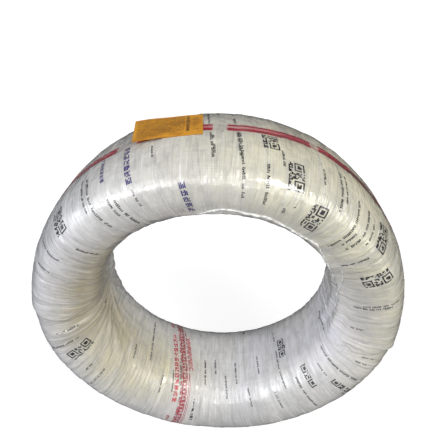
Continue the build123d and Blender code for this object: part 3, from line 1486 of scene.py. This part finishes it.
@dataclass(frozen=True)
class CoilPrint:
    """Where the print lies on the wrapping. A row is an angle at its start, and both its ends."""

    face: WrappedFace
    seed: int = 20
    lean: float = -10.6 / 770
    block_length: float = 62.0
    blocks: tuple[tuple[float, float, int], ...] = (
        (70, 123, 11), (61, 190, 11), (29, 187, 11), (39, 124, 11), (137.5, 126, 11), (196.5, 222, 10),
        (309, 378, 8), (319.5, 264, 6), (77, 39, 11), (329.5, 190, 6), (258.5, 225, 5))
    bold_rows: tuple[Triple, ...] = (
        (84.5, 20, 193), (77, 114, 206), (125.2, 77, 211), (117, 160, 244), (50.5, 100, 232),
        (46.3, 102, 207), (57, 54, 153), (335.9, 177, 308), (314.5, 181, 277), (69.8, 191, 208),
        (342.6, 328, 400), (189.5, 163, 236), (146.5, 115, 190), (15.6, 170, 255))
    small_rows: tuple[Triple, ...] = (
        (127.5, 66, 163), (119, 154, 202), (111.5, 154, 193), (93, -75, 116), (90.8, 49, 116),
        (85.8, -38, 107), (62.6, 47, 116), (55.3, 55, 130), (48, 150, 205), (38.4, 179, 244),
        (43.5, 120, 170), (17, 152, 232), (3.3, 228, 259), (345.5, 171, 219), (349, 180, 210),
        (327.6, 239, 278), (306.5, 259, 448), (152.7, 139, 176), (138, 196, 251), (182, 190, 254),
        (185.5, 300, 359), (205.8, 201, 225), (212.5, 177, 238), (231, 320, 458), (216, 150, 172),
        (283, 140, 166), (291, 140, 160), (222, 300, 345), (327, 150, 178),
        (263.5, 296, 376), (269, 330, 380), (275.5, 262, 330), (281, 300, 372), (287.5, 236, 292),
        (294, 318, 380),
        (301, 214, 262), (240.5, 250, 300), (106, 60, 98), (68, 150, 186), (73.5, 66, 110))
    violet_rows: tuple[tuple[float, float, float, float], ...] = (
        (113.5, 19, 147, 0.0125), (120.8, 36, 116, 0.009), (98.3, 160, 242, 0.0125))
    rear: Pair = (-300.0, -60.0)

    def line(self, degrees: float, start: float, end: float) -> FaceLine:
        """Line over the face that leans, and is pulled to the pinches, as the bands of wrapping are.

        Args:
            degrees: Angle of the band that it starts on.
            start: One end along the section, in millimetres.
            end: The other end.

        Returns:
            The line.
        """
        alongs = np.linspace(start, end, max(2, round((end - start) / LINE_STEP)))
        there = self.face.relief.drawn(degrees, alongs * MM) + self.lean * (alongs - start)
        return FaceLine(self.face.shape, np.stack((there, alongs), axis=-1))

    def block_line(self, degrees: float, along: float) -> FaceLine:
        """Line through a block, with the middle of the block at a place along the section."""
        return self.line(degrees, along - self.block_length / 2, along + self.block_length / 2)

    def lay_out(self, sheet: Print) -> None:
        """Place the marks that show in front.

        Args:
            sheet: What keeps the marks.
        """
        for degrees, along, deep in self.blocks:
            sheet.add_block(Ink.BLACK, self.block_line(degrees, along), deep)
        for row in self.bold_rows:
            sheet.add_words(Ink.BLACK, self.line(*row), 0.0058, fill=1.0)
        for row in self.small_rows:
            sheet.add_words(Ink.BLACK, self.line(*row), 0.0046, fill=0.96)
        for *row, size in self.violet_rows:
            sheet.add_motifs(Ink.VIOLET, self.line(*row), size, fill=0.80)

    def lay_out_rear(self, sheet: Print) -> None:
        """Place rows and blocks on the rear half, band by band.

        Args:
            sheet: What keeps the marks.
        """
        low, high = self.rear
        bands = self.face.relief.bands
        for band in range(bands):
            degrees = 360 / bands * (band + float(sheet.rng.uniform(-0.2, 0.2)))
            for aside in (-2.6, 0.0, 2.4):
                start = float(sheet.rng.uniform(low, high - 60))
                end = min(high, start + float(sheet.rng.uniform(50, 150)))
                sheet.add_words(Ink.BLACK, self.line(degrees + aside, start, end), 0.006)
            if band % 3 == 0:
                along = float(sheet.rng.uniform(low + 40, high - 40))
                sheet.add_block(Ink.BLACK, self.block_line(degrees + 4.6, along))
            if band % 5 == 2:
                start = float(sheet.rng.uniform(low, high - 120))
                sheet.add_motifs(Ink.VIOLET, self.line(degrees + 5.0, start, start + 110), 0.0125)

    def build(self, film: FilmFinish) -> list[Piece]:
        """Make the meshes of the print.

        Args:
            film: What lies over it.

        Returns:
            The pieces.
        """
        sheet = Print(self.face, np.random.default_rng(self.seed))
        self.lay_out(sheet)
        self.lay_out_rear(sheet)
        pieces = []
        for ink in (Ink.BLACK, Ink.VIOLET):
            finish = InkFinish(ink, film, wear=0.16)
            pieces.append(sheet.build(ink, f"print_{ink.name.lower()}", finish.made(), "wrapping"))
        return pieces


@dataclass(frozen=True)
class HoopTape:
    """Striped tape all the way round the rim, which some bands of the wrapping cover.

    Where the tape shows, its red is plain up to 1, the gap between its stripes fills with
    red up to 2, and all of it darkens up to 3.
    """

    face: WrappedFace
    width: float = 0.036
    lift: float = 0.0005
    columns: int = 1200
    rows: int = 8
    route: Stations = (
        (0, 28), (20, 34), (41, 28), (50, 12), (58, 0), (66, -2), (76, 5), (84, 11), (91, 16), (104, 18),
        (117.5, 20), (125, 13), (133.5, 1), (150, 6), (180, 24), (220, 30), (260, 18), (300, 26), (360, 28))
    shown: tuple[Pair, ...] = (
        (0, 0.45), (30, 0.55), (36, 2.6), (41, 3.0), (52, 2.8), (56, 2.3), (62.2, 1.9), (62.8, 0.25),
        (65, 0.35),
        (65.4, 1.9), (71, 1.8), (77, 1.2), (87.2, 1.0), (87.7, 0.02), (90.9, 0.02), (91.3, 1.0), (94, 1.6),
        (96, 1.0), (110.6, 1.0), (111, 0.04), (116.6, 0.05), (117.6, 1.8), (121, 1.1), (148, 1.0), (150, 0.1),
        (163, 0.1), (165, 0.9), (205, 0.9), (207, 0.2), (214, 0.2), (216, 0.8), (262, 0.8), (264, 0.1),
        (281, 0.1), (283, 0.9), (322, 0.9), (324, 0.15), (340, 0.2), (360, 0.45))

    def build(self, film: FilmFinish) -> Piece:
        """Make the tape.

        Args:
            film: What lies over it.

        Returns:
            The piece.
        """
        turns = np.arange(self.columns + 1) / self.columns
        middle, shown = (np.interp(turns * 360, *np.array(table).T) for table in (self.route, self.shown))
        across = np.linspace(0, 1, self.rows + 1)
        along = (middle * MM)[:, None] + (across - 0.5) * self.width
        angle, shown = (np.broadcast_to(values[:, None], along.shape) for values in (turns * TURN, shown))
        piece = self.face.overlay(
            "striped_hoop_tape", Places(self.face.shape, angle, along), self.lift,
            grid_faces(self.columns + 1, self.rows + 1, False, False),
            HoopTapeFinish(film).material("striped_tape"), "red_tape")
        add_chart(piece, TAPE_MAP, np.broadcast_to(across, along.shape), shown)
        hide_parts("hoop_tape")
        return piece


@dataclass(frozen=True)
class CrossTape:
    """Clear tape with red columns, over the front shoulder, through the bore and out behind."""

    face: WrappedFace
    degrees: float = 248.0
    skew: float = 11.0
    width: float = 0.070
    lift: float = 0.0006
    print_lift: float = 0.0009
    start: float = 122.0
    steps: int = 320
    rows: int = 16
    seed: int = 31
    motif_columns: tuple[tuple[Ink, float, float, float, float], ...] = (
        (Ink.SCARLET, -20, 238, 440, 0.0125), (Ink.CRIMSON, 4, 160, 560, 0.0080),
        (Ink.SCARLET, 23, 335, 445, 0.0060),
        (Ink.SCARLET, -21, 470, 610, 0.0110), (Ink.SCARLET, 20, 500, 600, 0.0080),
        (Ink.CRIMSON, -24, 176, 196, 0.008))
    word_columns: tuple[tuple[Ink, float, float, float, float], ...] = (
        (Ink.CRIMSON, -4.5, 150, 600, 0.0060), (Ink.CRIMSON, 11.0, 170, 600, 0.0040),
        (Ink.CRIMSON, 18, 300, 470, 0.004),
        (Ink.BLACK, -9, 285, 352, 0.0052), (Ink.BLACK, -31, 262, 320, 0.0040),
        (Ink.BLACK, 9, 460, 560, 0.0050),
        (Ink.SCARLET, 28, 330, 450, 0.0036))
    rule_columns: tuple[tuple[float, float, float, float], ...] = (
        (-0.6, 150, 600, 0.0016), (8.9, 150, 600, 0.0012), (16.5, 150, 312, 0.0016), (20.5, 150, 300, 0.0012))

    def centre(self, along: Array) -> Array:
        """Find the middle of the tape.

        Args:
            along: Distances along the section.

        Returns:
            Angles in radians.
        """
        radius, place = self.face.shape.section(along)
        aside = -place * math.tan(math.radians(self.skew))
        return math.radians(self.degrees) + np.arcsin(aside / radius)

    def line(self, aside: float, start: float, end: float) -> FaceLine:
        """Line along the tape.

        Args:
            aside: Distance from the middle of the tape, in millimetres.
            start: One end along the section, in millimetres.
            end: The other end.

        Returns:
            The line.
        """
        alongs = np.linspace(start, end, max(3, round((end - start) / LINE_STEP)))
        radius = self.face.shape.section(alongs * MM)[0]
        degrees = np.degrees(self.centre(alongs * MM) + aside * MM / radius)
        return FaceLine(self.face.shape, np.stack((degrees, alongs), axis=-1))

    def strip(self, film: FilmFinish) -> Piece:
        """Make the clear strip.

        Args:
            film: What lies over it.

        Returns:
            The piece that stands for the tape.
        """
        shape = self.face.shape
        along = np.linspace(self.start * MM, shape.girth - self.start * MM, self.steps)[:, None]
        across = np.linspace(-0.5, 0.5, self.rows + 1) * self.width
        angle = self.centre(along) + across / shape.section(along)[0]
        piece = self.face.overlay(
            "clear_cross_tape", Places(shape, angle, np.broadcast_to(along, angle.shape)), self.lift,
            grid_faces(self.steps, self.rows + 1, False, False),
            CrossTapeFinish(film).material("clear_tape"), "red_tape")
        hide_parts("cross_tape")
        return piece

    def build(self, film: FilmFinish) -> list[Piece]:
        """Make the strip and its print.

        Args:
            film: What lies over them.

        Returns:
            The pieces.
        """
        sheet = Print(self.face, np.random.default_rng(self.seed), lift=self.print_lift)
        for ink, *column, size in self.motif_columns:
            sheet.add_motifs(ink, self.line(*column), size, fill=0.80)
        for ink, *column, tall in self.word_columns:
            sheet.add_words(ink, self.line(*column), tall, fill=1.0)
        for *column, wide in self.rule_columns:
            line = self.line(*column)
            sheet.add_bar(Ink.CRIMSON, line, (0.0, line.length), (-wide / 2, wide / 2))
        pieces = [self.strip(film)]
        for ink in (Ink.CRIMSON, Ink.SCARLET, Ink.BLACK):
            finish = InkFinish(ink, film, faded=(0.62, 0.36, 0.36), wear=0.28)
            pieces.append(sheet.build(ink, f"tape_{ink.name.lower()}", finish.made(), "red_tape"))
        return pieces


@dataclass(frozen=True)
class PaperTag:
    """Thin sheet that rests on the crown, a little twisted, with dense print on its face."""

    face: WrappedFace
    thick: float = 0.0003
    clearance: float = 0.0010
    across: int = 60
    deep: int = 42
    rear_right: Triple = (-0.0330, 0.0580, 0.8994)
    front_right: Triple = (-0.0257, -0.0470, 0.9003)
    rear_left: Triple = (-0.1790, 0.0580, 0.8818)
    front_left: Triple = (-0.1660, -0.0470, 0.8795)
    sag: float = 0.0022
    print_rows: int = 19
    seed: int = 8
    print_lift: float = 0.00015
    softness: float = 0.0008

    def points(self, right: Array, front: Array, lift: float) -> Array:
        """Points over the sheet.

        Args:
            right: Shares of its length, from the left end.
            front: Shares of its width, from the rear edge.
            lift: Height over its lower face.

        Returns:
            An array of points, with the coordinates last.
        """
        right, front = right[..., None], front[..., None]
        rear, fore = (
            np.array(left) * (1 - right) + np.array(end) * right
            for left, end in ((self.rear_left, self.rear_right), (self.front_left, self.front_right)))
        bow = self.sag * np.sin(math.pi * right) + 0.0006 * np.sin(9 * right + 5 * front)
        curl = 0.0012 * front ** 3 * (1 - right) ** 2 + 0.0005 * np.sin(7 * front + 2) * (1 - right)
        free = rear * (1 - front) + fore * front + (bow + curl) * np.array((0.0, 0.0, 1.0))
        free[..., 2] = self.over_face(free) + lift
        return free

    def over_face(self, points: Array) -> Array:
        """Raise points to the face of the coil where they would sink into it.

        Args:
            points: Points of the sheet.

        Returns:
            Their heights above the floor.
        """
        shape = self.face.shape
        distance, _, front = shape.outline
        crown = distance < distance[np.argmax(front)]
        along = -np.sign(points[..., 1]) * np.interp(np.abs(points[..., 1]), front[crown], distance[crown])
        angle = np.arccos(points[..., 0] / shape.section(along)[0])
        rest = self.face.on_mesh(Places(shape, angle, along), self.clearance)[..., 2]
        off = points[..., 2] - rest
        return rest + (off + np.sqrt(off ** 2 + self.softness ** 2)) / 2

    def build(self) -> list[Piece]:
        """Make the sheet and its print.

        Returns:
            The pieces.
        """
        right, front = np.meshgrid(
            np.linspace(0, 1, self.across), np.linspace(0, 1, self.deep), indexing="ij")
        points = np.stack([self.points(right, front, lift) for lift in (self.thick, 0.0)])
        faces = grid_faces(self.across, self.deep, False, False)
        number = np.arange(right.size).reshape(right.shape)
        rim = np.concatenate((number[:, 0], number[-1, 1:], number[-2::-1, -1], number[0, -2:0:-1]))
        following = np.roll(rim, -1)
        wall = np.stack((rim, rim + right.size, following + right.size, following), axis=-1)
        every = np.concatenate((faces, faces[:, ::-1] + right.size, wall))
        paper = TagFinish().material("orange_paper")
        sheet = add_mesh("orange_tag", points, every, paper)
        sheet.data.set_sharp_from_angle(angle=math.radians(40))
        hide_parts("paper_tag")
        return [sheet, self.print_face()]

    def bars(self) -> Iterator[tuple[float, float, float, float]]:
        """Lay out rows of strokes that spell nothing, and two columns of bars.

        Yields:
            The left, right, rear and front edge of each, as shares of the sheet.
        """
        rng = np.random.default_rng(self.seed)
        for row in range(self.print_rows):
            low, at = 0.07 + 0.044 * row, 0.05
            end = 0.74 if row < self.print_rows - 2 else 0.45
            while at < end:
                long = float(rng.uniform(0.008, 0.030))
                if rng.random() < 0.86:
                    yield at, min(end, at + long), low, low + float(rng.uniform(0.014, 0.024))
                at += long + float(rng.uniform(0.003, 0.010))
        for count, left, right, spread, first, pitch, wide in (
                (16, 0.765, 0.80, 0.02, 0.10, 0.046, 0.034), (7, 0.86, 0.89, 0.06, 0.16, 0.10, 0.018)):
            for step in range(count):
                low = first + pitch * step
                yield left, right + spread * float(rng.random()), low, low + wide

    def print_face(self) -> Piece:
        """Make the print.

        Returns:
            The piece.
        """
        table = np.array(list(self.bars()))
        points = self.points(table[:, (0, 0, 1, 1)], table[:, (2, 3, 3, 2)], self.thick + self.print_lift)
        faces = np.arange(table.size).reshape(-1, 4)
        ink = InkFinish(Ink.BROWN, faded=(0.60, 0.28, 0.04), wear=0.65).made()
        return add_mesh("tag_print", points, faces, ink, smooth=False)


@dataclass(frozen=True)
class Lamp:
    """A soft rectangular lamp."""

    name: str
    place: Triple
    aim: Triple
    size: Pair
    power: float
    colour: Triple
    mirrored: bool = True
    spread: float = 180.0

    def build(self) -> None:
        """Hang the lamp."""
        data = bpy.data.lights.new(self.name, "AREA")
        data.shape = "RECTANGLE"
        data.size, data.size_y = self.size
        data.spread = math.radians(self.spread)
        data.energy = self.power
        data.color = self.colour
        made = bpy.data.objects.new(self.name, data)
        facing = (Vector(self.aim) - Vector(self.place)).to_track_quat("-Z", "Y").to_matrix().to_4x4()
        made.matrix_world = Matrix.Translation(self.place) @ facing
        made.visible_glossy = self.mirrored
        bpy.context.scene.collection.objects.link(made)


@dataclass(frozen=True)
class Studio:
    """Floor, lights, background and camera."""

    camera_place: Triple = (0.0331, -0.792, 1.218)
    camera_down: float = 0.6065
    camera_turn: float = 0.0365
    focal_pixels: float = 415.0
    image_side: float = 440.0
    sensor: float = 36.0
    soft_light: float = 0.15
    floor_half: float = 40.0
    floor_tone: float = 0.22
    floor_glow: float = 0.88
    glow_reach: Pair = (0.5, 1.6)
    lamps: tuple[Lamp, ...] = (
        Lamp("far_left", (-2.55, -1.25, 1.95), (0.0, -0.1, 0.5), (2.5, 1.1), 37.0, (0.93, 0.955, 1.0)),
        Lamp("left_front", (-1.70, -2.00, 1.70), (0.0, 0.0, 0.4), (1.2, 0.9), 21.5, (0.96, 0.97, 1.0)),
        Lamp("low_front", (-0.85, -2.75, 1.75), (0.0, 0.0, 0.5), (0.9, 0.35), 6.4, (0.98, 0.98, 1.0)),
        Lamp("high_right", (1.20, -1.15, 2.50), (0.1, 0.0, 0.6), (0.9, 0.7), 26.5, (1.0, 0.98, 0.93)),
        Lamp("right_front", (1.70, -1.90, 1.50), (0.0, 0.0, 0.5), (1.2, 1.0), 15.5, (1.0, 0.99, 0.96)),
        Lamp("low_rear", (0.10, 2.60, 1.10), (0.0, 0.0, 0.4), (2.4, 0.9), 10.0, (0.98, 0.99, 1.0), False),
        Lamp("bore_right", (-1.30, -1.60, 0.95), (0.31, -0.05, 0.36), (0.15, 0.15), 0.08,
             (0.95, 0.96, 1.0), False, 12.0),
        Lamp("rim_left", (-2.20, -1.80, 0.70), (-0.48, -0.10, 0.52), (1.2, 1.2), 0.70,
             (0.93, 0.95, 1.0), False, 24.0),
        Lamp("top_right", (1.90, -1.60, 2.30), (0.30, -0.11, 0.78), (1.2, 1.2), 1.00,
             (1.0, 0.98, 0.86), False, 20.0),
    )

    def camera(self) -> None:
        """Set the camera up at the photograph's viewing angle."""
        data = bpy.data.cameras.new("camera")
        data.sensor_width = self.sensor
        data.lens = self.focal_pixels * self.sensor / self.image_side
        made = bpy.data.objects.new("camera", data)
        tilt = Matrix.Rotation(math.pi / 2 - self.camera_down, 4, "X")
        turn = Matrix.Rotation(self.camera_turn, 4, "Z") @ tilt
        made.matrix_world = Matrix.Translation(self.camera_place) @ turn
        bpy.context.scene.collection.objects.link(made)
        bpy.context.scene.camera = made

    def world(self) -> None:
        """Make the white background and the soft light that comes from all round."""
        world = bpy.data.worlds.new("studio")
        bpy.context.scene.world = world
        world.use_nodes = True
        sheet = NodeSheet(world.node_tree)
        path = sheet.node("ShaderNodeLightPath")
        seen = sheet.math("MAXIMUM", path.outputs["Is Camera Ray"], path.outputs["Is Transmission Ray"])
        sheet.fill(
            world.node_tree.nodes["Background"], Color=(1, 1, 1, 1),
            Strength=sheet.math("MULTIPLY_ADD", seen, 1 - self.soft_light, self.soft_light))

    def floor(self) -> None:
        """Make the plain pale floor."""
        half = self.floor_half
        mesh = bpy.data.meshes.new("floor")
        corners = [(-half, -half, 0), (half, -half, 0), (half, half, 0), (-half, half, 0)]
        mesh.from_pydata(corners, [], [(0, 1, 2, 3)])
        made = bpy.data.objects.new("floor", mesh)
        bpy.context.scene.collection.objects.link(made)
        made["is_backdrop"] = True
        on = Surface("floor")
        seen = on.node("ShaderNodeLightPath").outputs["Is Camera Ray"]
        reach = on.fill(on.node("ShaderNodeVectorMath", operation="LENGTH"), Vector=on.own_place())
        glow = on.ramp(reach.outputs[1], *self.glow_reach, self.floor_glow, 1.0)
        tone = self.floor_tone
        on.dress(Base_Color=(tone, tone, tone, 1), Roughness=0.9, Specular_IOR_Level=0.0,
                 Emission_Color=(1, 1, 1, 1), Emission_Strength=on.times(seen, glow))
        mesh.materials.append(on.made)

    def build(self) -> None:
        """Set up the whole studio."""
        bpy.context.scene.view_settings.view_transform = "Standard"
        self.camera()
        self.world()
        self.floor()
        for lamp in self.lamps:
            lamp.build()


HEMS = (
    FilmHem("bore_edge_hem", (
        (96, 254), (89, 233), (83.5, 228), (77, 231), (71.8, 233), (67, 240), (61.8, 244), (56, 245),
        (50.8, 246), (43.8, 262), (35.8, 275), (28.8, 285), (18.5, 308)), 0.0025, 71),
    FilmHem("right_tuck_hem", (
        (353, 452), (349.5, 430), (351, 400), (351.5, 376), (352.8, 334), (356, 300)), 0.0015, 73),
    FilmHem("right_roll_hem", ((38, 243), (26, 268), (14, 309), (4, 322), (-3, 332)), 0.0018, 75),
)

# The folds and lips that the wrapping shows, from the top round to the right
COIL_FEATURES = (
    FoldPath(((96, 256), (78, 240), (50, 256), (28, 292)), 0.0032, 0.007, 0.15),
    Pinch((177.5, -367), 0.0050, 0.17, 38, 51),
    LapLip(
        ((181.2, 200), (181.2, 224), (179.8, 246), (179.2, 272), (179, 297), (181.2, 327), (184.8, 371)),
        0.0036, 0.020),
    LapLip(
        ((172.5, 130), (172.5, 159), (173.8, 178), (175.8, 212), (174.5, 236), (173, 260), (171, 288)),
        0.0036, 0.028, upward=False),
    Swelling((196, 150), 0.0020, (0.045, 0.05)),
    LapLip(
        ((357, 130), (356.8, 156), (354, 172), (351, 193), (349, 232), (349.8, 252), (345, 275)),
        0.0030, 0.030),
    Swelling((355.6, 150), 0.0060, (0.006, 0.012)),
    Pinch((345, -336), 0.0018, 0.12, 30, 61, 0.35, 16.0),
    FoldPath(((38, 266), (28, 284), (18, 294), (8, 300), (-6, 306)), 0.0055, 0.009, 0.15),
    FoldPath(((30, 300), (14, 318), (2, 330), (-12, 345)), -0.0042, 0.013, 0.1),
    FoldPath(((16, 340), (2, 350), (-14, 366)), 0.0040, 0.010, 0.1),
    FoldPath(((12, 262), (2, 256), (-12, 262)), 0.0026, 0.010, 0.2),
)


def main() -> None:
    """Build the whole coil and its studio, and report each piece."""
    logging.basicConfig(level=logging.INFO, format="%(name)s: %(message)s")
    shape = CoilShape.from_frame()
    relief = Relief(shape, COIL_FEATURES)
    face = WrappedFace(shape, relief)
    film = FilmFinish(WrapEffects(shape, relief.bands))
    pieces = face.build(film.material("filmed_wrap"))
    rolled = HemFinish().material("rolled_film")
    pieces += [hem.build(face, rolled) for hem in HEMS]
    pieces += CoilPrint(face).build(film)
    pieces.append(HoopTape(face).build(film))
    pieces += CrossTape(face).build(film)
    pieces += PaperTag(face).build()
    dress_node("wire_coil", WireFinish().material("drawn_wire"))
    Studio().build()
    for piece in pieces:
        LOG.info("%s: %d faces", piece.name, len(piece.data.polygons))
    bounds = [[list(corner) for corner in box] for box in (CAD_BOUNDS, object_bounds())]


if __name__ == "__main__":
    main()
